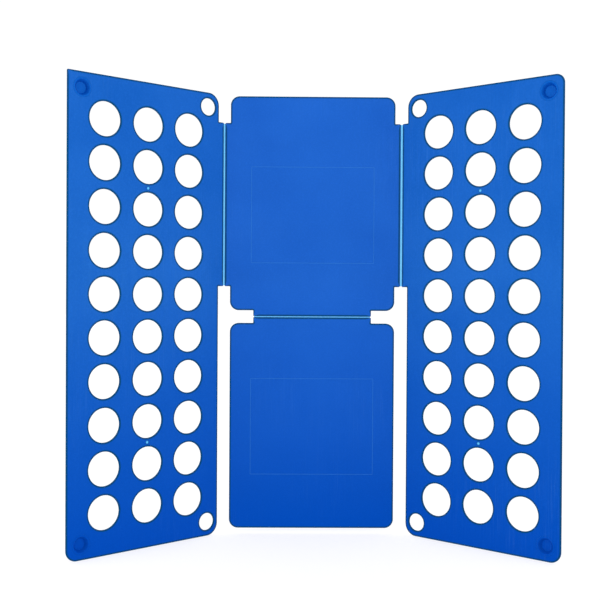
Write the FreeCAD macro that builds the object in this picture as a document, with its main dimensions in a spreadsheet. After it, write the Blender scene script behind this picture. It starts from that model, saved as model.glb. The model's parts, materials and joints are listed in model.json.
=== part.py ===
import FreeCAD
import Part
import math
import os
import Sketcher

# Shirt folding board: four thin moulded plastic panels joined by three living
# hinges. Two wings, perforated with round holes, fold over an upper and a lower
# centre panel. The board stands on the bottom edges of its wings, opened like a
# screen, with both wings swung forward.
#
# Frame: +Z up, the folding face looks along -Y, the left wing is at -X. The
# origin is on the floor, in the middle of the board's width and depth.
#
# A wing is drawn flat in a frame of its own: X runs outward from its hinge line
# (towards -X on the left wing), Y from its front face to its back face, and Z up
# from the floor. Its Placement swings it about its hinge axis. The hinge axes
# stand at different distances in front of the sheets, so that the folded sheets
# stack: first the lower centre panel, then the left wing, then the right wing.

document = FreeCAD.newDocument("ShirtFoldingBoard")

# Driving dimensions, in millimetres, degrees and counts.
DIMENSIONS = [
    ("sheet", 1.6, "thickness of the panels"),
    ("edge_round", 0.4, "rounding of the panels' edges"),
    ("front_y", 74.0, "front faces of the centre panels, from the middle of the depth"),
    ("wing_angle", 40.2, "how far each wing is swung forward of flat"),
    ("hinge_x", 118.8, "middle of the board to a wing's hinge line"),
    ("left_axis", 1.35, "left hinge axis in front of the front faces"),
    ("right_axis", 2.3, "right hinge axis in front of the front faces"),
    ("film_gap", 1.8, "width of a hinge film, laid flat"),
    ("film_thick", 0.4, "thickness of a hinge film"),
    ("film_depth", 0.8, "middle of a hinge film behind the front faces"),
    ("film_inset", 1.0, "each end of a hinge film inside its tabs"),
    ("tab_low", 333.0, "lower end of the wing hinges"),
    ("tab_high", 553.0, "upper end of the wing hinges"),
    ("tab_round", 0.8, "rounding at the hinge tabs' corners"),
    ("wing_high", 590.0, "height of a wing"),
    ("wing_inner", 9.0, "hinge line to a wing's inner edge"),
    ("wing_reach", 231.2, "hinge line to a wing's outer edge"),
    ("wing_inner_round", 16.0, "corners beside the centre panels"),
    ("wing_bottom_round", 14.5, "bottom outer corners of the wings"),
    ("wing_top_round", 11.5, "the right wing's top outer corner"),
    ("wing_sharp_round", 1.5, "the left wing's top outer corner"),
    ("centre_half", 111.0, "half the width of the centre panels"),
    ("centre_gap", 17.0, "open gap between the centre panels, beside their hinge"),
    ("centre_low", 6.6, "bottom of the lower centre panel"),
    ("centre_high", 589.0, "top of the upper centre panel"),
    ("centre_round", 12.0, "corners of the centre panels"),
    ("fold_z", 292.2, "line of the hinge between the centre panels"),
    ("fold_half", 79.5, "half the length of that hinge"),
    ("vent_radius", 21.3, "ventilation holes"),
    ("vent_middle", 118.5, "middle column of holes from the hinge line"),
    ("vent_columns", 3, "holes across a wing"),
    ("vent_rows", 10, "holes up a wing"),
    ("vent_pitch_wide", 61.7, "between columns"),
    ("vent_pitch_high", 53.7, "between rows"),
    ("latch_radius", 11.3, "corner holes that take the other wing's studs"),
    ("latch_inset", 26.5, "corner hole from the hinge line"),
    ("latch_level", 19.0, "corner hole and stud from a wing's top or bottom"),
    ("stud_rim_radius", 12.1, "flat rim of a stud, flush with the front face"),
    ("stud_rim_thick", 0.8, "thickness of that rim"),
    ("stud_radius", 10.9, "shank of a stud"),
    ("stud_fit", 0.05, "gap round a stud in its seat"),
    ("stud_shoulder", 2.4, "where the shank starts to taper, from the front face"),
    ("stud_back", 6.4, "back of a stud, from the front face"),
    ("stud_back_radius", 7.6, "back end of a stud"),
    ("stud_back_round", 1.4, "rounding of the back end"),
    ("cup_radius", 10.0, "mouth of the hollow in a stud"),
    ("cup_floor", 4.8, "depth of that hollow"),
    ("cup_floor_radius", 6.9, "floor of the hollow"),
    ("cup_round", 1.2, "rounding of the floor's edge"),
    ("gate_radius", 2.4, "dimple where the plastic entered the mould"),
    ("gate_depth", 0.35, "depth of the dimple"),
    ("gate_nub_radius", 0.9, "stub left in the dimple"),
    ("gate_rows", 3.0, "dimples above and below mid height, in rows"),
    ("label_half", 83.0, "half the width of the engraved frame on a centre panel"),
    ("label_tall", 130.0, "height of that frame"),
    ("label_line", 0.7, "width of its groove"),
    ("label_depth", 0.25, "depth of its groove"),
    ("label_top", 494.5, "top of the upper frame"),
    ("label_bottom", 79.0, "bottom of the lower frame"),
]


class Size:
    """A number and the spreadsheet expression that gives it."""

    def __init__(self, value, text):
        self.value = value
        self.text = text

    def __add__(self, other):
        other = as_size(other)
        return Size(self.value + other.value, f"({self.text} + {other.text})")

    def __sub__(self, other):
        other = as_size(other)
        return Size(self.value - other.value, f"({self.text} - {other.text})")

    def __mul__(self, other):
        other = as_size(other)
        return Size(self.value * other.value, f"({self.text} * {other.text})")

    def __truediv__(self, other):
        other = as_size(other)
        return Size(self.value / other.value, f"({self.text} / {other.text})")

    def __neg__(self):
        return Size(-self.value, f"(0 - {self.text})")


def as_size(number):
    """A Size stays what it is, and a plain number becomes one."""
    if isinstance(number, Size):
        return number
    return Size(number, repr(number))


def sine(angle):
    return Size(math.sin(math.radians(angle.value)), f"sin({angle.text} * 1 deg)")


def cosine(angle):
    return Size(math.cos(math.radians(angle.value)), f"cos({angle.text} * 1 deg)")


def fill_sheet():
    """Writes the dimensions into the spreadsheet and returns them by name."""
    sizes = document.addObject("Spreadsheet::Sheet", "Sizes")
    found = {}
    for row, (alias, value, meaning) in enumerate(DIMENSIONS, start=1):
        sizes.set(f"A{row}", alias)
        sizes.set(f"B{row}", str(value))
        sizes.set(f"C{row}", meaning)
        sizes.setAlias(f"B{row}", alias)
        found[alias] = Size(value, f"Sizes.{alias}")
    document.recompute()
    return found


D = fill_sheet()


# ---- helpers for bodies, sketches and features ----


def new_body(label):
    body = document.addObject("PartDesign::Body", label)
    body.Label = label
    return body


def new_sketch(body, name, role):
    """A sketch on one of the body's own origin planes."""
    plane = next(f for f in body.Origin.OriginFeatures if f.Role == role)
    sketch = body.newObject("Sketcher::SketchObject", name)
    sketch.AttachmentSupport = [(plane, "")]
    sketch.MapMode = "FlatFace"
    return sketch


def bind(thing, name, size):
    """Sets a property from a size and ties it to the spreadsheet."""
    size = as_size(size)
    thing.setExpression(name, size.text)


def fix_point(sketch, geometry, point, x, y):
    """Ties a sketch point to two sizes, measured from the sketch's origin."""
    for kind, size, axis in (("DistanceX", x, -2), ("DistanceY", y, -1)):
        if abs(size.value) < 1e-9:
            sketch.addConstraint(Sketcher.Constraint("PointOnObject", geometry, point, axis))
            continue
        forward = size.value > 0
        length = size if forward else -size
        ends = (-1, 1, geometry, point) if forward else (geometry, point, -1, 1)
        index = sketch.addConstraint(Sketcher.Constraint(kind, *ends, length.value))
        sketch.setExpression(f"Constraints[{index}]", length.text)


def add_polygon(sketch, corners):
    """A closed outline through corners, each a pair of sizes."""
    corners = [(as_size(x), as_size(y)) for x, y in corners]
    vectors = [FreeCAD.Vector(x.value, y.value, 0) for x, y in corners]
    lines = []
    for start, end in zip(vectors, vectors[1:] + vectors[:1]):
        lines.append(sketch.addGeometry(Part.LineSegment(start, end), False))
    for line, after in zip(lines, lines[1:] + lines[:1]):
        sketch.addConstraint(Sketcher.Constraint("Coincident", line, 2, after, 1))
    for line, (x, y) in zip(lines, corners):
        fix_point(sketch, line, 1, x, y)


def add_circle(sketch, x, y, radius):
    centre = FreeCAD.Vector(x.value, y.value, 0)
    normal = FreeCAD.Vector(0, 0, 1)
    circle = sketch.addGeometry(Part.Circle(centre, normal, radius.value), False)
    fix_point(sketch, circle, 3, x, y)
    index = sketch.addConstraint(Sketcher.Constraint("Radius", circle, radius.value))
    sketch.setExpression(f"Constraints[{index}]", radius.text)


def pad(body, name, sketch, length, backwards):
    """Thickens a sketch. On the XZ plane, backwards is towards +Y."""
    feature = body.newObject("PartDesign::Pad", name)
    feature.Profile = sketch
    feature.Reversed = backwards
    bind(feature, "Length", length)
    document.recompute()
    return feature


def pocket(body, name, sketch, depth):
    """Cuts a sketch on the XZ plane from the front face back, to depth."""
    before = body.Shape.Volume
    feature = body.newObject("PartDesign::Pocket", name)
    feature.Profile = sketch
    bind(feature, "Length", depth)
    document.recompute()
    if not feature.Shape.Volume < before - 1e-3:
        raise RuntimeError(f"{body.Label}: {name} cuts nothing")
    return feature


def round_edges(body, name, radius, wanted):
    """Rounds the edges of the body's last feature that wanted(edge) picks."""
    base = body.Tip
    picked = [f"Edge{i}" for i, edge in enumerate(base.Shape.Edges, start=1) if wanted(edge)]
    if not picked:
        raise RuntimeError(f"{body.Label}: {name} finds no edge")
    feature = body.newObject("PartDesign::Fillet", name)
    feature.Base = (base, picked)
    bind(feature, "Radius", radius)
    document.recompute()


def round_corners(body, name, radius, corners):
    """Rounds the corners of a panel's outline, given as (x, z) pairs of sizes."""
    places = [(as_size(x).value, as_size(z).value) for x, z in corners]

    def at_a_corner(edge):
        ends = [vertex.Point for vertex in edge.Vertexes]
        if len(ends) != 2 or abs(abs(ends[0].y - ends[1].y) - D["sheet"].value) > 1e-4:
            return False
        return any(all(math.hypot(p.x - x, p.z - z) < 1e-3 for p in ends) for x, z in places)

    round_edges(body, name, radius, at_a_corner)


def round_both_faces(body, name):
    """Rounds every edge where the front or the back face ends."""
    levels = (0.0, D["sheet"].value)

    def on_a_face(edge):
        box = edge.BoundBox
        return any(abs(box.YMin - y) < 1e-4 and abs(box.YMax - y) < 1e-4 for y in levels)

    round_edges(body, name, D["edge_round"], on_a_face)


def swing(side, axis_distance, outward, height):
    """Placement of a point of a wing's frame, with the wing swung to its angle.

    side is -1 for the left wing and 1 for the right. outward and height place the
    point in the flat wing; the result also turns what stands there.
    """
    turn = FreeCAD.Rotation(FreeCAD.Vector(0, 0, 1), -side * D["wing_angle"].value)
    axis = FreeCAD.Vector(side * D["hinge_x"].value, D["front_y"].value - axis_distance.value, 0)
    arm = FreeCAD.Vector(side * outward, axis_distance.value, height)
    return FreeCAD.Placement(axis + turn.multVec(arm), turn)


# ---- the four panels ----


def make_wing(label, side, axis_distance, top_corner_round):
    """A perforated wing, drawn flat. side is -1 on the left and 1 on the right."""
    body = new_body(label)
    tab = D["film_gap"] / 2 * side
    inner = D["wing_inner"] * side
    outer = D["wing_reach"] * side
    top = D["wing_high"]

    outline = new_sketch(body, f"{label}_outline", "XZ_Plane")
    add_polygon(
        outline,
        [
            (inner, 0),
            (outer, 0),
            (outer, top),
            (inner, top),
            (inner, D["tab_high"]),
            (tab, D["tab_high"]),
            (tab, D["tab_low"]),
            (inner, D["tab_low"]),
        ],
    )
    pad(body, f"{label}_sheet", outline, D["sheet"], backwards=True)
    round_corners(body, f"{label}_inner_corners", D["wing_inner_round"], [(inner, 0), (inner, top)])
    round_corners(body, f"{label}_bottom_corner", D["wing_bottom_round"], [(outer, 0)])
    round_corners(body, f"{label}_top_corner", top_corner_round, [(outer, top)])
    steps = [(x, z) for x in (tab, inner) for z in (D["tab_low"], D["tab_high"])]
    round_corners(body, f"{label}_tab_corners", D["tab_round"], steps)

    middle = D["vent_middle"] * side
    first_x = middle - D["vent_pitch_wide"] * side * (D["vent_columns"] - 1) / 2
    first_z = top / 2 - D["vent_pitch_high"] * (D["vent_rows"] - 1) / 2
    vent = new_sketch(body, f"{label}_vent", "XZ_Plane")
    add_circle(vent, first_x, first_z, D["vent_radius"])
    hole = pocket(body, f"{label}_vent_hole", vent, D["sheet"])
    one_hole = hole.BaseFeature.Shape.Volume - hole.Shape.Volume
    holes = body.newObject("PartDesign::LinearPattern", f"{label}_vents")
    holes.Originals = [hole]
    holes.Direction = (vent, ["H_Axis"])
    holes.Reversed = side < 0
    holes.Direction2 = (vent, ["V_Axis"])
    bind(holes, "Length", D["vent_pitch_wide"] * (D["vent_columns"] - 1))
    bind(holes, "Occurrences", D["vent_columns"])
    bind(holes, "Length2", D["vent_pitch_high"] * (D["vent_rows"] - 1))
    bind(holes, "Occurrences2", D["vent_rows"])
    body.Tip = holes
    document.recompute()
    wanted = hole.BaseFeature.Shape.Volume - one_hole * D["vent_columns"].value * D["vent_rows"].value
    if abs(holes.Shape.Volume - wanted) > 1.0:
        raise RuntimeError(f"{label}: the pattern doesn't make every hole")

    levels = (D["latch_level"], top - D["latch_level"])
    latches = new_sketch(body, f"{label}_latches", "XZ_Plane")
    for level in levels:
        add_circle(latches, D["latch_inset"] * side, level, D["latch_radius"])
    pocket(body, f"{label}_latch_holes", latches, D["sheet"])
    round_both_faces(body, f"{label}_rounding")

    # A stud's seat and a latch hole are together as far from their hinge lines
    # as those lines are apart, so that each stud meets the other wing's hole
    # when both wings are folded.
    stud_x = (D["hinge_x"] * 2 - D["latch_inset"]) * side
    for name, radius, depth in (
        ("seat", D["stud_rim_radius"], D["stud_rim_thick"]),
        ("bore", D["stud_radius"], D["sheet"]),
    ):
        seats = new_sketch(body, f"{label}_stud_{name}s", "XZ_Plane")
        for level in levels:
            add_circle(seats, stud_x, level, radius + D["stud_fit"])
        pocket(body, f"{label}_stud_{name}_cut", seats, depth)

    gates = new_sketch(body, f"{label}_gates", "XZ_Plane")
    for up in (-1, 1):
        level = top / 2 + D["vent_pitch_high"] * D["gate_rows"] * up
        add_circle(gates, middle, level, D["gate_radius"])
        add_circle(gates, middle, level, D["gate_nub_radius"])
    pocket(body, f"{label}_gate_dimples", gates, D["gate_depth"])

    body.Placement = swing(side, axis_distance, 0, 0)
    return body


def engrave_frame(body, bottom, top):
    """The shallow rectangular line on a centre panel's front face."""
    frame = new_sketch(body, f"{body.Label}_frame", "XZ_Plane")
    for inset in (as_size(0), D["label_line"]):
        half = D["label_half"] - inset
        low = bottom + inset
        high = top - inset
        add_polygon(frame, [(-half, low), (half, low), (half, high), (-half, high)])
    pocket(body, f"{body.Label}_frame_groove", frame, D["label_depth"])


def centre_body(label, outline_corners, square_corners, tab_corners):
    """A centre panel of the given outline, with its corners and edges rounded."""
    body = new_body(label)
    outline = new_sketch(body, f"{label}_outline", "XZ_Plane")
    add_polygon(outline, outline_corners)
    pad(body, f"{label}_sheet", outline, D["sheet"], backwards=True)
    round_corners(body, f"{label}_corners", D["centre_round"], square_corners)
    round_corners(body, f"{label}_tab_corners", D["tab_round"], tab_corners)
    round_both_faces(body, f"{label}_rounding")
    body.Placement = FreeCAD.Placement(FreeCAD.Vector(0, D["front_y"].value, 0), FreeCAD.Rotation())
    bind(body, "Placement.Base.y", D["front_y"])
    return body


def make_upper_centre(label):
    """The panel that stays still, with a hinge tab on three sides."""
    half = D["centre_half"]
    reach = D["hinge_x"] - D["film_gap"] / 2
    top = D["centre_high"]
    bottom = D["fold_z"] + D["centre_gap"] / 2
    fold = D["fold_z"] + D["film_gap"] / 2
    right_side = [
        (D["fold_half"], fold),
        (D["fold_half"], bottom),
        (half, bottom),
        (half, D["tab_low"]),
        (reach, D["tab_low"]),
        (reach, D["tab_high"]),
        (half, D["tab_high"]),
        (half, top),
    ]
    left_side = [(-x, z) for x, z in reversed(right_side)]
    squares = [(x, z) for x in (-half, half) for z in (bottom, top)]
    tabs = [c for c in right_side + left_side if c[1] is not bottom and c[1] is not top]
    tabs += [(-D["fold_half"], bottom), (D["fold_half"], bottom)]
    body = centre_body(label, right_side + left_side, squares, tabs)
    engrave_frame(body, D["label_top"] - D["label_tall"], D["label_top"])
    return body


def make_lower_centre(label):
    """The panel that folds up over the upper one, with a tab at its top."""
    half = D["centre_half"]
    top = D["fold_z"] - D["centre_gap"] / 2
    fold = D["fold_z"] - D["film_gap"] / 2
    bottom = D["centre_low"]
    right_side = [(half, bottom), (half, top), (D["fold_half"], top), (D["fold_half"], fold)]
    left_side = [(-x, z) for x, z in reversed(right_side)]
    squares = [(x, z) for x in (-half, half) for z in (bottom, top)]
    tabs = [(x, z) for x in (-D["fold_half"], D["fold_half"]) for z in (top, fold)]
    body = centre_body(label, right_side + left_side, squares, tabs)
    engrave_frame(body, D["label_bottom"], D["label_bottom"] + D["label_tall"])
    return body


# ---- the three living hinges ----


def make_side_film(label, side, axis_distance):
    """The film between a wing's tab and the upper centre panel's, as it stands."""
    half_gap = D["film_gap"] / 2
    centre_edge = (D["hinge_x"] - half_gap) * side
    sin_a = sine(D["wing_angle"])
    cos_a = cosine(D["wing_angle"])

    def wing_edge(depth):
        """The wing tab's edge, at a depth behind the wing's front face."""
        arm = axis_distance + depth
        x = D["hinge_x"] + half_gap * cos_a + arm * sin_a
        y = D["front_y"] - axis_distance - half_gap * sin_a + arm * cos_a
        return (x * side, y)

    near = D["film_depth"] - D["film_thick"] / 2
    far = D["film_depth"] + D["film_thick"] / 2
    body = new_body(label)
    section = new_sketch(body, f"{label}_section", "XY_Plane")
    bind(section, "AttachmentOffset.Base.z", D["tab_low"] + D["film_inset"])
    add_polygon(
        section,
        [
            (centre_edge, D["front_y"] + near),
            (centre_edge, D["front_y"] + far),
            wing_edge(far),
            wing_edge(near),
        ],
    )
    length = D["tab_high"] - D["tab_low"] - D["film_inset"] * 2
    pad(body, f"{label}_strip", section, length, backwards=False)
    return body


def make_centre_film(label):
    """The film between the two centre panels."""
    film = document.addObject("Part::Box", label)
    film.Label = label
    half_length = D["fold_half"] - D["film_inset"]
    bind(film, "Length", half_length * 2)
    bind(film, "Width", D["film_thick"])
    bind(film, "Height", D["film_gap"])
    bind(film, "Placement.Base.x", -half_length)
    bind(film, "Placement.Base.y", D["front_y"] + D["film_depth"] - D["film_thick"] / 2)
    bind(film, "Placement.Base.z", D["fold_z"] - D["film_gap"] / 2)
    return film


# ---- the four studs ----


def make_stud(label, side, axis_distance, level):
    """A hollow stud, open at the front, that stands out behind a wing's corner."""
    body = new_body(label)
    profile = new_sketch(body, f"{label}_profile", "XY_Plane")
    nothing = as_size(0)
    add_polygon(
        profile,
        [
            (nothing, D["cup_floor"]),
            (D["cup_floor_radius"], D["cup_floor"]),
            (D["cup_radius"], nothing),
            (D["stud_rim_radius"], nothing),
            (D["stud_rim_radius"], D["stud_rim_thick"]),
            (D["stud_radius"], D["stud_rim_thick"]),
            (D["stud_radius"], D["stud_shoulder"]),
            (D["stud_back_radius"], D["stud_back"]),
            (nothing, D["stud_back"]),
        ],
    )
    turned = body.newObject("PartDesign::Revolution", f"{label}_turned")
    turned.Profile = profile
    turned.ReferenceAxis = (profile, ["V_Axis"])
    turned.Angle = 360
    document.recompute()

    def ring(radius, depth):
        def is_it(edge):
            if not isinstance(edge.Curve, Part.Circle):
                return False
            right_size = abs(edge.Curve.Radius - radius.value) < 1e-4
            return right_size and abs(edge.Curve.Center.y - depth.value) < 1e-4

        return is_it

    round_edges(
        body, f"{label}_back_round", D["stud_back_round"], ring(D["stud_back_radius"], D["stud_back"])
    )
    round_edges(
        body, f"{label}_cup_round", D["cup_round"], ring(D["cup_floor_radius"], D["cup_floor"])
    )
    outward = 2 * D["hinge_x"].value - D["latch_inset"].value
    body.Placement = swing(side, axis_distance, outward, level.value)
    return body


def make_board():
    """Every piece of the board, in the order they are listed."""
    pieces = [
        make_upper_centre("upper_centre_panel"),
        make_lower_centre("lower_centre_panel"),
        make_wing("left_wing_panel", -1, D["left_axis"], D["wing_sharp_round"]),
        make_wing("right_wing_panel", 1, D["right_axis"], D["wing_top_round"]),
        make_side_film("left_hinge_film", -1, D["left_axis"]),
        make_side_film("right_hinge_film", 1, D["right_axis"]),
        make_centre_film("centre_hinge_film"),
    ]
    top = D["wing_high"] - D["latch_level"]
    for side, name, axis in ((-1, "left", D["left_axis"]), (1, "right", D["right_axis"])):
        pieces.append(make_stud(f"{name}_top_stud", side, axis, top))
        pieces.append(make_stud(f"{name}_bottom_stud", side, axis, D["latch_level"]))
    return pieces


def check_and_write(pieces):
    """Stops if anything failed, then writes parts/NODE.step for each piece."""
    document.recompute()
    for thing in document.Objects:
        if {"Invalid", "Error"} & set(thing.State):
            raise RuntimeError(f"{thing.Label} failed: {thing.State}")
    for piece in pieces:
        shape = piece.Shape
        if shape.isNull() or not shape.isValid() or len(shape.Solids) != 1:
            raise RuntimeError(f"{piece.Label} isn't one valid solid")
    os.makedirs("parts", exist_ok=True)
    for piece in pieces:
        piece.Shape.exportStep(f"parts/{piece.Label}.step")
        box = piece.Shape.BoundBox
        print(f"{piece.Label}: {box.XLength:.1f} x {box.YLength:.1f} x {box.ZLength:.1f} mm")


check_and_write(make_board())
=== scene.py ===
import json
import math

import bmesh
import bpy
from mathutils import Matrix, Vector, geometry, kdtree


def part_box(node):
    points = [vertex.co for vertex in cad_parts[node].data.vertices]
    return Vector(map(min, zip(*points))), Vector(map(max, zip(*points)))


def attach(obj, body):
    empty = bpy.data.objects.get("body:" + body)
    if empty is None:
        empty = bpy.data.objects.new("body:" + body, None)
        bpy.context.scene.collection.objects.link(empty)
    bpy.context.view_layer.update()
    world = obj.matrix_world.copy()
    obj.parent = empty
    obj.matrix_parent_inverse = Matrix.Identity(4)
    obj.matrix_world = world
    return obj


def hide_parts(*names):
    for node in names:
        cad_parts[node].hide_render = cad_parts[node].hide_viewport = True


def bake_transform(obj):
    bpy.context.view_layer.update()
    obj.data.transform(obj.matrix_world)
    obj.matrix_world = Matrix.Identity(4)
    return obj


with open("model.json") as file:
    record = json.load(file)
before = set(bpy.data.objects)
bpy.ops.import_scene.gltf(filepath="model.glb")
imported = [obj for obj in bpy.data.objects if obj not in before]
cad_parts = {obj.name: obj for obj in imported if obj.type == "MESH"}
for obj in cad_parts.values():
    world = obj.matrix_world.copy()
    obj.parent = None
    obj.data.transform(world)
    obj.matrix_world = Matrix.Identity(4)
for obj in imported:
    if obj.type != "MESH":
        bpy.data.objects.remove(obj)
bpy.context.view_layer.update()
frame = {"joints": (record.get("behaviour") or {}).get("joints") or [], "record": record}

# Shirt folding board, opened like a screen. Every piece is made here as a mesh of
# its own, in metres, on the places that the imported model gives: four moulded
# panels, three living hinges that bend between the panels, and four hollow studs.
#
# A panel is drawn flat, in (across, depth, up): across runs outward from the
# hinge line on a wing and towards +X on the centre panels, and depth runs from the
# front face to the back face.

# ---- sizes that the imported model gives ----

JOINTS = {joint["name"]: joint for joint in frame["joints"]}
MOUNTS = {mount["name"]: mount for mount in frame["record"]["mounts"]}
SIDES = {"left": -1, "right": 1}

UPPER_LOW, UPPER_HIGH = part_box("upper_centre_panel")
LOWER_LOW, LOWER_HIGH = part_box("lower_centre_panel")
FILM_LOW, FILM_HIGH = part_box("centre_hinge_film")
SIDE_FILM_LOW, SIDE_FILM_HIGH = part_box("left_hinge_film")

FRONT_Y = UPPER_LOW.y
SHEET = UPPER_HIGH.y - UPPER_LOW.y
CENTRE_HALF = LOWER_HIGH.x
CENTRE_LOW = LOWER_LOW.z
CENTRE_HIGH = UPPER_HIGH.z
WING_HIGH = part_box("left_wing_panel")[1].z
FILM_GAP = FILM_HIGH.z - FILM_LOW.z
FILM_THICK = FILM_HIGH.y - FILM_LOW.y
FILM_DEPTH = (FILM_LOW.y + FILM_HIGH.y) / 2 - FRONT_Y
FOLD_Z = (FILM_LOW.z + FILM_HIGH.z) / 2
HINGE_X = JOINTS["right_wing_fold"]["pos_m"][0]
WING_ANGLE = math.radians(-JOINTS["right_wing_fold"]["range_deg"][0])
LATCH_RADIUS = MOUNTS["left_top_hole"]["dims"]["r_mm"] / 1000
LATCH_LEVEL = MOUNTS["left_bottom_hole"]["pos_m"][2]

# ---- sizes that repeat the CAD source's, in metres ----

EDGE_ROUND = 0.0004  # rounding of the panels' edges
FILM_INSET = 0.001  # each end of a hinge film inside its tabs
TAB_LOW = SIDE_FILM_LOW.z - FILM_INSET
TAB_HIGH = SIDE_FILM_HIGH.z + FILM_INSET
FOLD_HALF = FILM_HIGH.x + FILM_INSET
TAB_ROUND = 0.0008
WING_INNER = 0.009  # hinge line to a wing's inner edge
WING_REACH = 0.2312  # hinge line to a wing's outer edge
WING_INNER_ROUND = 0.016
WING_BOTTOM_ROUND = 0.0145  # bottom outer corners of the wings
WING_TOP_ROUND = {"left": 0.0015, "right": 0.0115}
CENTRE_GAP = 0.017  # between the centre panels, beside their hinge
CENTRE_ROUND = 0.012
VENT_RADIUS = 0.0213
VENT_MIDDLE = 0.1185  # middle column of holes from the hinge line
VENT_COLUMNS, VENT_ROWS = 3, 10
VENT_PITCH_WIDE, VENT_PITCH_HIGH = 0.0617, 0.0537
LATCH_INSET = 0.0265  # corner hole from the hinge line
STUD_FIT = 0.00005  # between a stud and its bore
STUD_RIM_RADIUS, STUD_RIM_THICK = 0.0121, 0.0008
STUD_RADIUS, STUD_SHOULDER = 0.0109, 0.0024
STUD_BACK, STUD_BACK_RADIUS, STUD_BACK_ROUND = 0.0064, 0.0076, 0.0014
CUP_RADIUS, CUP_FLOOR, CUP_FLOOR_RADIUS, CUP_ROUND = 0.0100, 0.0048, 0.0069, 0.0012
GATE_RADIUS, GATE_DEPTH, GATE_NUB_RADIUS = 0.0024, 0.00035, 0.0009
GATE_ROWS = 3  # from a wing's middle to a gate, in rows of holes
LABEL_HALF, LABEL_TALL = 0.083, 0.130  # engraved frame on a centre panel
LABEL_LINE, LABEL_DEPTH = 0.0007, 0.00025
LABEL_TOP, LABEL_BOTTOM = 0.4945, 0.079

# ---- how finely the meshes are made ----

MESH_STEP = 0.0065  # between points on the flats
LINE_CLEAR = 0.6  # how near to a line such a point may be, in steps
MERGE_REACH = 1e-7  # points nearer than this to each other are one
CORNER_STEPS = 10  # along a rounded corner
VENT_STEPS = 72  # round a ventilation hole
SMALL_STEPS = 48  # round a corner hole or a stud
ROUND_STEPS = 4  # over an edge's rounding
CORNER_USE = 0.9  # how much of a corner's radius the rings inside it may use
SHARP_ANGLE = math.radians(40)  # faces that meet at more than this have a crisp edge
RIM_BAND = 0.0022  # how far the painted shade of an edge reaches onto the flats
BAND_SHADE, ROUND_SHADE = 0.88, 0.9  # that shade half way over the band and at the rounding
LABEL_PALE = 0.22  # how much paler the engraved frame's line is, as a painted highlight


# ---- meshes ----


class Hole:
    """A closed line in the flat drawing, and whether a point lies inside it."""

    def __init__(self, spots):
        self.sides = list(zip(spots, spots[1:] + spots[:1]))
        self.low = Vector((min(s.x for s in spots), min(s.y for s in spots)))
        self.high = Vector((max(s.x for s in spots), max(s.y for s in spots)))

    def holds(self, spot):
        if not (self.low.x < spot.x < self.high.x and self.low.y < spot.y < self.high.y):
            return False
        crossings = 0
        for one, other in self.sides:
            if (one.y > spot.y) != (other.y > spot.y):
                share = (spot.y - one.y) / (other.y - one.y)
                crossings += one.x + (other.x - one.x) * share > spot.x
        return crossings % 2 == 1


class Shape:
    """Points and faces of one piece. place turns (across, depth, up) into the frame."""

    def __init__(self, place):
        self.place = place
        self.points = []
        self.faces = []
        self.rim = []
        self.pale = []

    def add(self, across, depth, up, rim=0.0, pale=0.0):
        self.points.append((across, depth, up))
        self.rim.append(rim)
        self.pale.append(pale)
        return len(self.points) - 1

    def join(self, rings):
        """Quads between rings that follow each other."""
        for first, second in zip(rings, rings[1:]):
            for i in range(len(first)):
                after = (i + 1) % len(first)
                self.faces.append((first[i], first[after], second[after], second[i]))

    def cap(self, ring, middle):
        """Triangles between a ring and the point in its middle."""
        for i, index in enumerate(ring):
            self.faces.append((index, ring[(i + 1) % len(ring)], middle))

    def fill(self, loops, low, high, depth):
        """Even triangles inside the first loop and outside the others."""
        known = [index for loop in loops for index in loop]
        flat = [Vector((self.points[index][0], self.points[index][2])) for index in known]
        tree = kdtree.KDTree(len(flat))
        for place, spot in enumerate(flat):
            tree.insert((spot.x, spot.y, 0), place)
        tree.balance()
        edges, holes, start = [], [], 0
        for loop in loops:
            count = len(loop)
            edges += [(start + i, start + (i + 1) % count) for i in range(count)]
            holes.append(Hole(flat[start : start + count]))
            start += count
        holes.pop(0)
        rise = MESH_STEP * math.sqrt(3) / 2
        for row in range(1, int((high[1] - low[1]) / rise)):
            for column in range(int((high[0] - low[0]) / MESH_STEP) + 1):
                across = low[0] + (column + row % 2 / 2) * MESH_STEP
                spot = Vector((across, low[1] + row * rise))
                clear = tree.find((spot.x, spot.y, 0))[2] > MESH_STEP * LINE_CLEAR
                if clear and across < high[0] and not any(hole.holds(spot) for hole in holes):
                    flat.append(spot)
        inside_outline = 1
        made = geometry.delaunay_2d_cdt(flat, edges, [], inside_outline, MERGE_REACH)
        spots, triangles, sources = made[0], made[2], made[3]
        added = {}
        for triangle in triangles:
            middle = sum((spots[corner] for corner in triangle), Vector((0, 0))) / 3
            if any(hole.holds(middle) for hole in holes):
                continue
            face = []
            for corner in triangle:
                source = sources[corner][0]
                if source >= len(known) and source not in added:
                    added[source] = self.add(flat[source].x, depth, flat[source].y)
                face.append(known[source] if source < len(known) else added[source])
            self.faces.append(face)

    def make(self, name):
        """The Blender object, with outward faces and the attributes of painted shade and
        paleness.
        """
        mesh = bpy.data.meshes.new(name)
        mesh.from_pydata([self.place(*point) for point in self.points], [], self.faces)
        for attribute, values in (("rim", self.rim), ("pale", self.pale)):
            layer = mesh.attributes.new(attribute, "FLOAT", "POINT")
            layer.data.foreach_set("value", values)
        work = bmesh.new()
        work.from_mesh(mesh)
        bmesh.ops.recalc_face_normals(work, faces=work.faces)
        work.to_mesh(mesh)
        work.free()
        mesh.shade_smooth()
        mesh.set_sharp_from_angle(angle=SHARP_ANGLE)
        piece = bpy.data.objects.new(name, mesh)
        bpy.context.scene.collection.objects.link(piece)
        return piece


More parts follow.
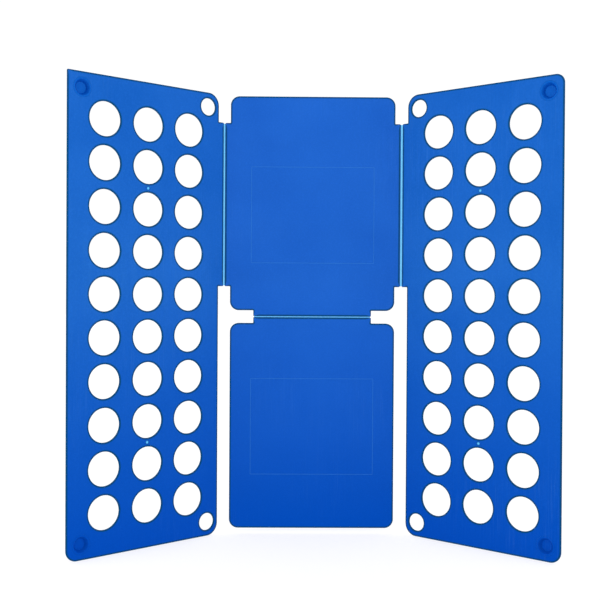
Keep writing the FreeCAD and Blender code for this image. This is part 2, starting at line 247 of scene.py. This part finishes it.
def outline(corners):
    """A closed line through rounded corners, counter-clockwise.

    corners are (across, up, radius). Each point of the result is (across, up, the
    way into the sheet, how far it may be moved that way).
    """
    spots = [Vector(corner[:2]) for corner in corners]
    arcs = []
    for i, (spot, corner) in enumerate(zip(spots, corners)):
        before = (spot - spots[i - 1]).normalized()
        after = (spots[(i + 1) % len(spots)] - spot).normalized()
        radius = corner[2]
        turn = before.angle_signed(after) * -1
        start = spot - before * radius * math.tan(abs(turn) / 2)
        hand = math.copysign(1, turn)
        inward = Vector((-before.y, before.x))
        centre = start + inward * radius * hand
        arc = []
        for step in range(CORNER_STEPS + 1):
            way = Matrix.Rotation(turn * step / CORNER_STEPS, 2) @ inward
            limit = radius * CORNER_USE if hand > 0 else math.inf
            arc.append((centre - way * radius * hand, way, limit))
        arcs.append(arc)
    points = []
    for arc, following in zip(arcs, arcs[1:] + arcs[:1]):
        points += arc
        start, end = arc[-1][0], following[0][0]
        count = max(1, round((end - start).length / MESH_STEP))
        for step in range(1, count):
            points.append((start.lerp(end, step / count), arc[-1][1], math.inf))
    return points


def circle(across, up, radius, steps):
    """A round opening's edge, in the form that outline gives."""
    points = []
    for step in range(steps):
        angle = 2 * math.pi * step / steps
        way = Vector((math.cos(angle), math.sin(angle)))
        points.append((Vector((across, up)) + way * radius, way, math.inf))
    return points


def add_rings(shape, line, profile):
    """Rings along a line, one for each (inset, depth, rim, pale) of the profile, joined.

    At a tight corner the rings beyond the edge's rounding are drawn closer together.
    """
    deepest = max(inset for inset, *_ in profile)
    rings = []
    for inset, depth, *shades in profile:
        ring = []
        for spot, way, limit in line:
            share = min(1.0, (limit - EDGE_ROUND) / (deepest - EDGE_ROUND))
            beyond = max(0.0, inset - EDGE_ROUND)
            moved = spot + way * (inset - beyond + beyond * share)
            ring.append(shape.add(moved.x, depth, moved.y, *shades))
        rings.append(ring)
    shape.join(rings)
    return rings


def add_turned(shape, across, up, profile):
    """Rings round a point, one for each (radius, depth, rim, pale) of the profile, joined."""
    rings = []
    for radius, depth, *shades in profile:
        spots = [spot for spot, _, _ in circle(across, up, radius, SMALL_STEPS)]
        rings.append([shape.add(spot.x, depth, spot.y, *shades) for spot in spots])
    shape.join(rings)
    return rings


def edge_profile():
    """(inset, depth, rim) over the front rounding, down the edge and over the back."""
    # rim is the weight of the painted shade
    front = [(EDGE_ROUND + RIM_BAND, 0.0, 0.0), (EDGE_ROUND + RIM_BAND / 2, 0.0, BAND_SHADE)]
    for step in range(ROUND_STEPS + 1):
        angle = math.pi / 2 * step / ROUND_STEPS
        inset = EDGE_ROUND * (1 - math.sin(angle))
        shade = ROUND_SHADE + (1 - ROUND_SHADE) * step / ROUND_STEPS
        front.append((inset, EDGE_ROUND * (1 - math.cos(angle)), shade))
    back = [(inset, SHEET - depth, rim) for inset, depth, rim in reversed(front)]
    return front + back


def seat_profile():
    """The stepped bore that a stud is pressed into, inset from the bore."""
    step = STUD_RIM_RADIUS - STUD_RADIUS
    # the third values are painted shade on the bore's edges
    return [
        (step + EDGE_ROUND, 0.0, 0.0),
        (step, 0.0, 0.3),
        (step, STUD_RIM_THICK, 1.0),
        (0.0, STUD_RIM_THICK, 1.0),
        (0.0, SHEET, 0.3),
        (EDGE_ROUND, SHEET, 0.0),
    ]


def add_gate(shape, across, up):
    """The dimple where the plastic entered the mould, with its broken stub."""
    slope = 0.0002
    # the third values paint shade into the dimple; the stub is pale
    profile = (
        (GATE_RADIUS + slope, 0.0, 0.0, 0.0),
        (GATE_RADIUS, GATE_DEPTH * 0.3, 0.5, 0.0),
        (GATE_RADIUS - slope, GATE_DEPTH, 0.6, 0.0),
        (GATE_NUB_RADIUS + slope * 2, GATE_DEPTH, 0.2, 0.8),
        (GATE_NUB_RADIUS, GATE_DEPTH * 0.4, 0.0, 1.0),
        (GATE_NUB_RADIUS - slope, GATE_DEPTH * 0.1, 0.0, 1.0),
    )
    rings = add_turned(shape, across, up, profile)
    shape.cap(rings[-1], shape.add(across, 0.0, up, 0.0, 1.0))
    return rings[0]


def add_label(shape, bottom, top):
    """The engraved frame on a centre panel's front, and the flat inside it."""
    half, small = LABEL_HALF, LABEL_LINE
    line = outline(
        [(-half, bottom, small), (half, bottom, small), (half, top, small), (-half, top, small)]
    )
    slope = LABEL_LINE * 0.25
    rings = add_rings(
        shape,
        line,
        [
            (0.0, 0.0),
            # a painted highlight along the groove's floor
            (slope, LABEL_DEPTH, 0.0, LABEL_PALE),
            (LABEL_LINE - slope, LABEL_DEPTH, 0.0, LABEL_PALE),
            (LABEL_LINE, 0.0),
        ],
    )
    shape.fill([rings[-1]], (-half, bottom), (half, top), 0.0)
    return rings[0]


def swung(side, axis, share=1.0):
    """How a wing's flat drawing is placed: swung forward about its hinge axis.

    share is the part of the wing's whole angle that it is swung by.
    """
    pivot = Vector(axis)
    reach = FRONT_Y - pivot.y
    turn = Matrix.Rotation(-side * WING_ANGLE * share, 3, "Z")

    def place(across, depth, up):
        return Vector((pivot.x, pivot.y, 0)) + turn @ Vector((side * across, reach + depth, up))

    return place


def straight(across, depth, up):
    """How the centre panels' drawings are placed."""
    return Vector((across, FRONT_Y + depth, up))


def stud_places():
    """(across, up) of a wing's two studs, opposite the other wing's corner holes."""
    across = 2 * HINGE_X - LATCH_INSET
    return {"bottom": (across, LATCH_LEVEL), "top": (across, WING_HIGH - LATCH_LEVEL)}


def make_wing(name, side, axis, top_round):
    shape = Shape(swung(side, axis))
    tab = FILM_GAP / 2
    corners = [
        (WING_INNER, 0.0, WING_INNER_ROUND),
        (WING_REACH, 0.0, WING_BOTTOM_ROUND),
        (WING_REACH, WING_HIGH, top_round),
        (WING_INNER, WING_HIGH, WING_INNER_ROUND),
        (WING_INNER, TAB_HIGH, TAB_ROUND),
        (tab, TAB_HIGH, TAB_ROUND),
        (tab, TAB_LOW, TAB_ROUND),
        (WING_INNER, TAB_LOW, TAB_ROUND),
    ]
    edges = [add_rings(shape, outline(corners), edge_profile())]
    for column in range(VENT_COLUMNS):
        for row in range(VENT_ROWS):
            across = VENT_MIDDLE + (column - (VENT_COLUMNS - 1) / 2) * VENT_PITCH_WIDE
            up = WING_HIGH / 2 + (row - (VENT_ROWS - 1) / 2) * VENT_PITCH_HIGH
            line = circle(across, up, VENT_RADIUS, VENT_STEPS)
            edges.append(add_rings(shape, line, edge_profile()))
    for across, up in stud_places().values():
        latch = circle(LATCH_INSET, up, LATCH_RADIUS, SMALL_STEPS)
        edges.append(add_rings(shape, latch, edge_profile()))
        seat = circle(across, up, STUD_RADIUS + STUD_FIT, SMALL_STEPS)
        edges.append(add_rings(shape, seat, seat_profile()))
    gates = [
        add_gate(shape, VENT_MIDDLE, WING_HIGH / 2 + way * GATE_ROWS * VENT_PITCH_HIGH)
        for way in (-1, 1)
    ]
    low, high = (WING_INNER, 0.0), (WING_REACH, WING_HIGH)
    shape.fill([rings[0] for rings in edges] + gates, low, high, 0.0)
    shape.fill([rings[-1] for rings in edges], low, high, SHEET)
    return shape.make(name)


def make_centre(name, corners, label_bottom, low, high):
    shape = Shape(straight)
    rings = add_rings(shape, outline(corners), edge_profile())
    label = add_label(shape, label_bottom, label_bottom + LABEL_TALL)
    shape.fill([rings[0], label], low, high, 0.0)
    shape.fill([rings[-1]], low, high, SHEET)
    return shape.make(name)


def make_upper_centre():
    half, reach = CENTRE_HALF, HINGE_X - FILM_GAP / 2
    bottom = FOLD_Z + CENTRE_GAP / 2
    fold = FOLD_Z + FILM_GAP / 2
    right_side = [
        (FOLD_HALF, fold, TAB_ROUND),
        (FOLD_HALF, bottom, TAB_ROUND),
        (half, bottom, CENTRE_ROUND),
        (half, TAB_LOW, TAB_ROUND),
        (reach, TAB_LOW, TAB_ROUND),
        (reach, TAB_HIGH, TAB_ROUND),
        (half, TAB_HIGH, TAB_ROUND),
        (half, CENTRE_HIGH, CENTRE_ROUND),
    ]
    left_side = [(-across, up, radius) for across, up, radius in reversed(right_side)]
    low, high = (-half, bottom), (half, CENTRE_HIGH)
    return make_centre(
        "upper_centre_sheet", right_side + left_side, LABEL_TOP - LABEL_TALL, low, high
    )


def make_lower_centre():
    half, top = CENTRE_HALF, FOLD_Z - CENTRE_GAP / 2
    right_side = [
        (half, CENTRE_LOW, CENTRE_ROUND),
        (half, top, CENTRE_ROUND),
        (FOLD_HALF, top, TAB_ROUND),
        (FOLD_HALF, FOLD_Z - FILM_GAP / 2, TAB_ROUND),
    ]
    left_side = [(-across, up, radius) for across, up, radius in reversed(right_side)]
    low, high = (-half, CENTRE_LOW), (half, top)
    return make_centre("lower_centre_sheet", right_side + left_side, LABEL_BOTTOM, low, high)


def fillet(start, corner, end, radius, steps=6):
    """Points of an arc that rounds a corner of a profile."""
    start, corner, end = Vector(start), Vector(corner), Vector(end)
    first, last = (start - corner).normalized(), (end - corner).normalized()
    half_angle = first.angle(last) / 2
    middle = corner + (first + last).normalized() * radius / math.sin(half_angle)
    along = radius / math.tan(half_angle)
    one, other = corner + first * along - middle, corner + last * along - middle
    sweep = one.angle_signed(other) * -1
    return [middle + Matrix.Rotation(sweep * i / steps, 2) @ one for i in range(steps + 1)]


def make_stud(name, side, axis, across, up):
    """A hollow stud, turned about an axis through the sheet. The dish's wall has painted shade.
    """
    shape = Shape(swung(side, axis))
    lip = 0.0003
    margin = 0.0002
    floor = (0.0, CUP_FLOOR)
    floor_edge = (CUP_FLOOR_RADIUS, CUP_FLOOR)
    mouth = (CUP_RADIUS, 0.0)
    rim = (STUD_RIM_RADIUS, 0.0)
    rim_back = (STUD_RIM_RADIUS, STUD_RIM_THICK)
    shoulder = (STUD_RADIUS, STUD_SHOULDER)
    back_edge = (STUD_BACK_RADIUS, STUD_BACK)
    profile = [Vector((CUP_FLOOR_RADIUS * 0.5, CUP_FLOOR))]
    profile += fillet(floor, floor_edge, mouth, CUP_ROUND)
    profile += fillet(floor_edge, mouth, rim, lip)
    profile += fillet(mouth, rim, rim_back, lip / 2)
    profile += [Vector(rim_back), Vector((STUD_RADIUS, STUD_RIM_THICK)), Vector(shoulder)]
    profile += fillet(shoulder, back_edge, (0.0, STUD_BACK), STUD_BACK_ROUND)
    profile += [Vector((STUD_BACK_RADIUS * 0.5, STUD_BACK))]
    shaded = []
    for radius, depth in profile:
        wall = margin < depth < CUP_FLOOR - margin and radius < CUP_RADIUS
        shaded.append((radius, depth, float(wall)))
    rings = add_turned(shape, across, up, shaded)
    for ring, depth in ((rings[0], CUP_FLOOR), (rings[-1], STUD_BACK)):
        shape.cap(ring, shape.add(across, depth, up))
    return shape.make(name)


# ---- living hinges ----

FILM_EMBED = 0.00015  # how far a film's ends reach into the tabs' edges
FILM_STEPS = 16  # across a film
FILM_WAIST = 0.8  # the share of the film's thickness that its hinge line has
FILM_ROOT = 0.00035  # how much thicker a film is where it leaves the tabs
FILM_LINE = 0.00035  # half width of the pale line along a film
FILM_FADE = 0.0003  # over which that line fades into the blue


def film_section():
    """(across, depth, share of the bend, pale) round a film's section, laid flat.

    The film is thinnest at the hinge line and swells into the tabs. It is pale along that line,
    partly from flexing and partly as painted light shining through it from behind.
    """
    half = FILM_GAP / 2
    sides = {-1: [], 1: []}
    for step in range(FILM_STEPS + 1):
        across = (half + FILM_EMBED) * (2 * step / FILM_STEPS - 1)
        near_tab = min(1.0, abs(across) / half)
        thick = FILM_THICK * FILM_WAIST + FILM_ROOT * near_tab**4
        place = min(1.0, max(0.0, (across + half) / FILM_GAP))
        bend = place * place * (3 - 2 * place)
        pale = min(1.0, max(0.0, (FILM_LINE + FILM_FADE - abs(across)) / FILM_FADE))
        for face in sides:
            sides[face].append((across, FILM_DEPTH + face * thick / 2, bend, pale))
    return sides[-1] + sides[1][::-1]


def make_film(name, low, high, place):
    """A strip from low to high along its hinge. place takes (across, depth, bend, along)."""
    shape = Shape(lambda x, y, z: (x, y, z))
    section = film_section()
    count = round((high - low) / (2 * MESH_STEP))
    rings = []
    for step in range(count + 1):
        along = low + (high - low) * step / count
        ring = []
        for across, depth, bend, pale in section:
            ring.append(shape.add(*place(across, depth, bend, along), 0.0, pale))
        rings.append(ring)
    shape.join(rings)
    last = len(section) - 1
    for ring in (rings[0], rings[-1]):
        for i in range(FILM_STEPS):
            shape.faces.append((ring[i], ring[i + 1], ring[last - i - 1], ring[last - i]))
    return shape.make(name)


def make_side_film(name, side, axis):
    """The film between the upper centre panel and a wing, bent as it stands."""

    def place(across, depth, bend, along):
        return swung(side, axis, bend)(across, depth, along)

    film = make_film(name, TAB_LOW + FILM_INSET, TAB_HIGH - FILM_INSET, place)
    level = (TAB_LOW + TAB_HIGH) / 2
    start = place(-FILM_GAP / 2, FILM_DEPTH, 0, level)
    end = place(FILM_GAP / 2, FILM_DEPTH, 1, level)
    return film, start, end


def make_centre_film(name):
    """The film between the two centre panels, which stand in line."""

    def place(across, depth, bend, along):
        return Vector((along, FRONT_Y + depth, FOLD_Z - across))

    half = FOLD_HALF - FILM_INSET
    film = make_film(name, -half, half, place)
    return film, place(-FILM_GAP / 2, FILM_DEPTH, 0, 0), place(FILM_GAP / 2, FILM_DEPTH, 1, 0)


# ---- materials ----


class NodeTree:
    """The node tree of a material or of the world, with the nodes that are used most."""

    def __init__(self, owner):
        owner.use_nodes = True
        self.nodes = owner.node_tree.nodes
        self.links = owner.node_tree.links

    def feed(self, socket, value):
        """Gives a socket another node's output, or a fixed value."""
        if isinstance(value, bpy.types.NodeSocket):
            self.links.new(value, socket)
        else:
            socket.default_value = value

    def add(self, kind, inputs):
        """A node of a kind, with values for the inputs that inputs names."""
        node = self.nodes.new(kind)
        for label, value in inputs.items():
            self.feed(node.inputs[label], value)
        return node

    def place(self, kind="Object"):
        return self.nodes.new("ShaderNodeTexCoord").outputs[kind]

    def split(self, where):
        return self.add("ShaderNodeSeparateXYZ", {"Vector": where}).outputs

    def attribute(self, name):
        node = self.nodes.new("ShaderNodeAttribute")
        node.attribute_name = name
        return node.outputs["Fac"]

    def noise(self, where, scale, detail, roughness):
        inputs = {"Vector": where, "Scale": scale, "Detail": detail, "Roughness": roughness}
        return self.add("ShaderNodeTexNoise", inputs).outputs["Fac"]

    def drawn_out(self, where, stretch, turn=(0.0, 0.0, 0.0)):
        """The place to give to a noise, so that it is drawn out along one direction."""
        inputs = {"Vector": where, "Scale": stretch, "Rotation": turn}
        return self.add("ShaderNodeMapping", inputs).outputs["Vector"]

    def remap(self, value, given, wanted=(0.0, 1.0)):
        """Turns one range of values into another, and keeps to its ends."""
        inputs = {"Value": value, "From Min": given[0], "From Max": given[1]}
        inputs.update({"To Min": wanted[0], "To Max": wanted[1]})
        return self.add("ShaderNodeMapRange", inputs).outputs["Result"]

    def mix(self, factor, first, second):
        """Mixes two colours, each another node's output or fixed."""
        node = self.nodes.new("ShaderNodeMix")
        node.data_type = "RGBA"
        first_input, second_input, output = 6, 7, 2  # the sockets that hold colours
        self.feed(node.inputs["Factor"], factor)
        self.feed(node.inputs[first_input], first)
        self.feed(node.inputs[second_input], second)
        return node.outputs[output]

    def multiply(self, first, second):
        node = self.add("ShaderNodeMath", {0: first, 1: second})
        node.operation = "MULTIPLY"
        return node.outputs["Value"]

    def bump(self, height, strength, distance, after=None):
        inputs = {"Height": height, "Strength": strength, "Distance": distance}
        if after:
            inputs["Normal"] = after
        return self.add("ShaderNodeBump", inputs).outputs["Normal"]


PALE_BLUE = (0.13, 0.58, 1.0, 1.0)  # stretched or broken plastic, and painted light in films and engraved lines
WORN_BLUE = (0.08, 0.26, 0.72, 1.0)  # nicks and hairline scratches
SHEEN_BLUE = (0.20, 0.80, 1.0, 1.0)  # the tint of the gloss
# painted shade: the blue that the board deepens to at its foot
FOOT_BLUE = (0.0002, 0.066, 0.458, 1.0)
FOOT_PALE = (0.0008, 0.084, 0.560, 1.0)  # specks and scuffs at the foot, deepened by the painted shade there
FOOT_HIGH = 0.34  # from here down the blue deepens as painted shade
SHEEN = 0.17  # the strength of the gloss
FOOT_SHEEN, EDGE_SHEEN = 0.2, 0.1  # the share of it at the foot and on the edges
PALE_GAIN, PALE_LIFT = 1.25, 0.004  # how specks and scuffs are paler than the plastic
SCRATCH_TURNS = ((0.1, 0.35, 0.0), (-0.15, -0.9, 0.0))  # two ways that hairline scratches run


def moulded_plastic(name, colour, deep, edge, gloss=0.33):
    """Satin polypropylene: cloudy colour, fine mould grain, scuffs and painted shade on edges.

    The colour deepens towards the foot of the board, as painted shade, and the gloss is
    weaker there and on the edges.
    """
    material = bpy.data.materials.new(name)
    tree = NodeTree(material)
    shader = tree.nodes["Principled BSDF"]
    where = tree.place()
    # painted shade: the colour deepens from FOOT_HIGH down to the foot
    foot = tree.remap(tree.split(where)["Z"], (FOOT_HIGH, 0.0))
    # rim: where painted shade falls, along edges and in recesses
    rim = tree.attribute("rim")

    clouds = tree.noise(where, scale=9.0, detail=4.0, roughness=0.55)
    body = tree.mix(tree.remap(clouds, (0.3, 0.7)), colour, deep)
    body = tree.mix(foot, body, FOOT_BLUE)

    paler = tuple(min(1.0, part * PALE_GAIN + PALE_LIFT) for part in colour[:3]) + (1.0,)
    paler = tree.mix(foot, paler, FOOT_PALE)
    specks = tree.noise(where, scale=420.0, detail=2.0, roughness=0.6)
    body = tree.mix(tree.remap(specks, (0.45, 0.75), (0.0, 0.3)), body, paler)

    patches = tree.noise(where, scale=5.0, detail=2.0, roughness=0.5)
    along = tree.drawn_out(where, (35.0, 35.0, 3.0), (0.2, 0.5, 0.0))
    scuffs = tree.noise(along, scale=6.0, detail=6.0, roughness=0.7)
    rubbed = tree.multiply(
        tree.remap(scuffs, (0.48, 0.72), (0.0, 0.3)), tree.remap(patches, (0.48, 0.66))
    )
    body = tree.mix(rubbed, body, paler)
    for turn in SCRATCH_TURNS:
        along = tree.drawn_out(where, (1600.0, 1600.0, 14.0), turn)
        hairs = tree.noise(along, scale=1.0, detail=6.0, roughness=0.7)
        scratched = tree.multiply(
            tree.remap(hairs, (0.59, 0.66), (0.0, 0.25)), tree.remap(patches, (0.45, 0.62))
        )
        body = tree.mix(scratched, body, WORN_BLUE)

    # painted shade along the edges, made a little uneven by the same noise that places the
    # nicks
    wear_and_shade = tree.noise(where, scale=160.0, detail=4.0, roughness=0.65)
    shaded = tree.multiply(rim, tree.remap(wear_and_shade, (0.35, 0.65), (1.0, 0.85)))
    body = tree.mix(shaded, body, edge)
    nicks = tree.multiply(rim, tree.remap(wear_and_shade, (0.66, 0.74), (0.0, 0.6)))
    body = tree.mix(nicks, body, WORN_BLUE)
    # paler plastic at the gates' stubs, and a painted highlight along the engraved frame's line
    body = tree.mix(tree.attribute("pale"), body, PALE_BLUE)
    tree.feed(shader.inputs["Base Color"], body)

    rough = tree.remap(scuffs, (0.3, 0.75), (gloss - 0.06, gloss + 0.1))
    tree.feed(shader.inputs["Roughness"], rough)
    sheen = tree.multiply(
        tree.remap(foot, (0.0, 1.0), (SHEEN, SHEEN * FOOT_SHEEN)),
        tree.remap(rim, (0.0, 1.0), (1.0, EDGE_SHEEN)),
    )
    tree.feed(shader.inputs["Specular IOR Level"], sheen)
    shader.inputs["Specular Tint"].default_value = SHEEN_BLUE
    grain = tree.noise(where, scale=1500.0, detail=2.0, roughness=0.5)
    waves = tree.noise(where, scale=22.0, detail=2.0, roughness=0.4)
    normal = tree.bump(grain, strength=0.35, distance=0.0001)
    normal = tree.bump(waves, strength=0.3, distance=0.0006, after=normal)
    tree.feed(shader.inputs["Normal"], normal)
    return material


def hinge_plastic(name, colour, streak):
    """The film's plastic: the panels' blue, with a milky streaked line where it flexes.

    The line is partly painted light shining through the film from behind.
    """
    material = bpy.data.materials.new(name)
    tree = NodeTree(material)
    shader = tree.nodes["Principled BSDF"]
    along = tree.drawn_out(tree.place(), (900.0, 900.0, 40.0))
    strands = tree.noise(along, scale=1.0, detail=3.0, roughness=0.6)
    line = tree.mix(tree.remap(strands, (0.35, 0.7)), PALE_BLUE, streak)
    tree.feed(shader.inputs["Base Color"], tree.mix(tree.attribute("pale"), colour, line))
    tree.feed(shader.inputs["Roughness"], tree.remap(strands, (0.3, 0.7), (0.3, 0.42)))
    shader.inputs["Specular IOR Level"].default_value = 0.3
    tree.feed(shader.inputs["Normal"], tree.bump(strands, strength=0.25, distance=0.00008))
    return material


def finish_piece(piece, slot, material, *nodes):
    """Gives a piece its material and hides the CAD nodes that it stands for; slot is not used.
    """
    piece.data.materials.append(material)
    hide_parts(*nodes)
    return piece


# ---- the board ----

# edge is the colour of the painted shade along a panel's edges
CENTRE_BLUE = moulded_plastic(
    "centre_polypropylene",
    colour=(0.013, 0.118, 0.568, 1.0),
    deep=(0.009, 0.098, 0.512, 1.0),
    edge=(0.003, 0.056, 0.122, 1.0),
)
WING_BLUE = moulded_plastic(
    "wing_polypropylene",
    colour=(0.0085, 0.118, 0.538, 1.0),
    deep=(0.0035, 0.097, 0.484, 1.0),
    edge=(0.003, 0.056, 0.122, 1.0),
)
# on the studs, edge is the colour of the painted shade on the dish's wall
STUD_BLUE = moulded_plastic(
    "stud_polypropylene",
    colour=(0.001, 0.102, 0.525, 1.0),
    deep=(0.001, 0.090, 0.485, 1.0),
    edge=(0.0005, 0.062, 0.405, 1.0),
)
FILM_BLUE = hinge_plastic(
    "film_polypropylene",
    colour=(0.001, 0.095, 0.480, 1.0),
    streak=(0.22, 0.68, 1.0, 1.0),
)


def build_board():
    upper = finish_piece(make_upper_centre(), "centre_blue", CENTRE_BLUE, "upper_centre_panel")
    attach(upper, "upper_centre")
    lower = finish_piece(make_lower_centre(), "centre_blue", CENTRE_BLUE, "lower_centre_panel")
    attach(lower, "lower_centre")
    film, start, end = make_centre_film("centre_hinge_strip")
    finish_piece(film, "hinge_film", FILM_BLUE, "centre_hinge_film")
    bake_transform(film)
    for label, side in SIDES.items():
        axis = JOINTS[f"{label}_wing_fold"]["pos_m"]
        body = f"{label}_wing"
        wing = make_wing(f"{label}_wing_sheet", side, axis, WING_TOP_ROUND[label])
        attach(finish_piece(wing, "wing_blue", WING_BLUE, f"{label}_wing_panel"), body)
        for level, (across, up) in stud_places().items():
            stud = make_stud(f"{label}_{level}_cup", side, axis, across, up)
            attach(finish_piece(stud, "stud_blue", STUD_BLUE, f"{label}_{level}_stud"), body)
        film, start, end = make_side_film(f"{label}_hinge_strip", side, axis)
        finish_piece(film, "hinge_film", FILM_BLUE, f"{label}_hinge_film")
        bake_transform(film)


# ---- studio ----

FLOOR_GREYS = ((0.36, 0.36, 0.36, 1.0), (0.34, 0.34, 0.34, 1.0))


def make_floor(glow):
    """A plain pale floor that glows a little, like a light table."""
    half = 12.0
    mesh = bpy.data.meshes.new("studio_floor")
    corners = [(-half, -half, 0), (half, -half, 0), (half, half, 0), (-half, half, 0)]
    mesh.from_pydata(corners, [], [(0, 1, 2, 3)])
    floor = bpy.data.objects.new("studio_floor", mesh)
    bpy.context.scene.collection.objects.link(floor)
    material = bpy.data.materials.new("studio_floor")
    tree = NodeTree(material)
    shader = tree.nodes["Principled BSDF"]
    cloud = tree.noise(tree.place(), scale=3.0, detail=2.0, roughness=0.5)
    tree.feed(shader.inputs["Base Color"], tree.mix(cloud, *FLOOR_GREYS))
    shader.inputs["Roughness"].default_value = 0.9
    shader.inputs["Specular IOR Level"].default_value = 0.1
    shader.inputs["Emission Color"].default_value = (1.0, 1.0, 1.0, 1.0)
    shader.inputs["Emission Strength"].default_value = glow
    mesh.materials.append(material)


def make_room(front, back):
    """World light: a white room behind the board, a little dimmer in front of it."""
    world = bpy.data.worlds.new("studio")
    bpy.context.scene.world = world
    tree = NodeTree(world)
    way = tree.split(tree.place("Generated"))["Y"]
    background = tree.nodes["Background"]
    background.inputs["Color"].default_value = (1.0, 1.0, 1.0, 1.0)
    tree.feed(background.inputs["Strength"], tree.remap(way, (-0.2, 0.6), (front, back)))


def make_light(name, place, target, wide, high, power):
    """A softbox that faces a point."""
    data = bpy.data.lights.new(name, "AREA")
    data.shape = "RECTANGLE"
    data.size = wide
    data.size_y = high
    data.energy = power
    light = bpy.data.objects.new(name, data)
    light.location = place
    light.rotation_euler = (Vector(target) - Vector(place)).to_track_quat("-Z", "Y").to_euler()
    bpy.context.scene.collection.objects.link(light)


def make_camera():
    """Level with the middle of the board, nearly square to the centre panels."""
    aim = Vector((-0.0165, FRONT_Y, WING_HIGH / 2 + 0.01995))
    distance = 1.2942
    tilt, pan, roll = (math.radians(angle) for angle in (0.527, 0.636, -0.321))
    data = bpy.data.cameras.new("camera")
    data.sensor_width = 36.0
    data.lens = 57.51
    camera = bpy.data.objects.new("camera", data)
    camera.matrix_world = (
        Matrix.Translation(aim)
        @ Matrix.Rotation(math.pi / 2 - tilt, 4, "X")
        @ Matrix.Rotation(-pan, 4, "Y")
        @ Matrix.Rotation(-roll, 4, "Z")
        @ Matrix.Translation((0, 0, distance))
    )
    bpy.context.scene.collection.objects.link(camera)
    bpy.context.scene.camera = camera


build_board()
make_floor(glow=0.72)
make_room(front=0.97, back=1.05)
make_light("key_softbox", (-0.1, -0.7, 1.35), (0, 0, 0.4), wide=0.9, high=0.9, power=0.6)
for label, side in SIDES.items():
    place, target = (side * 1.3, -0.5, 0.37), (-side * 0.2, 0, 0.35)
    make_light(f"{label}_softbox", place, target, wide=0.8, high=0.2, power=3.2)
make_camera()
bpy.context.scene.view_settings.view_transform = "Standard"
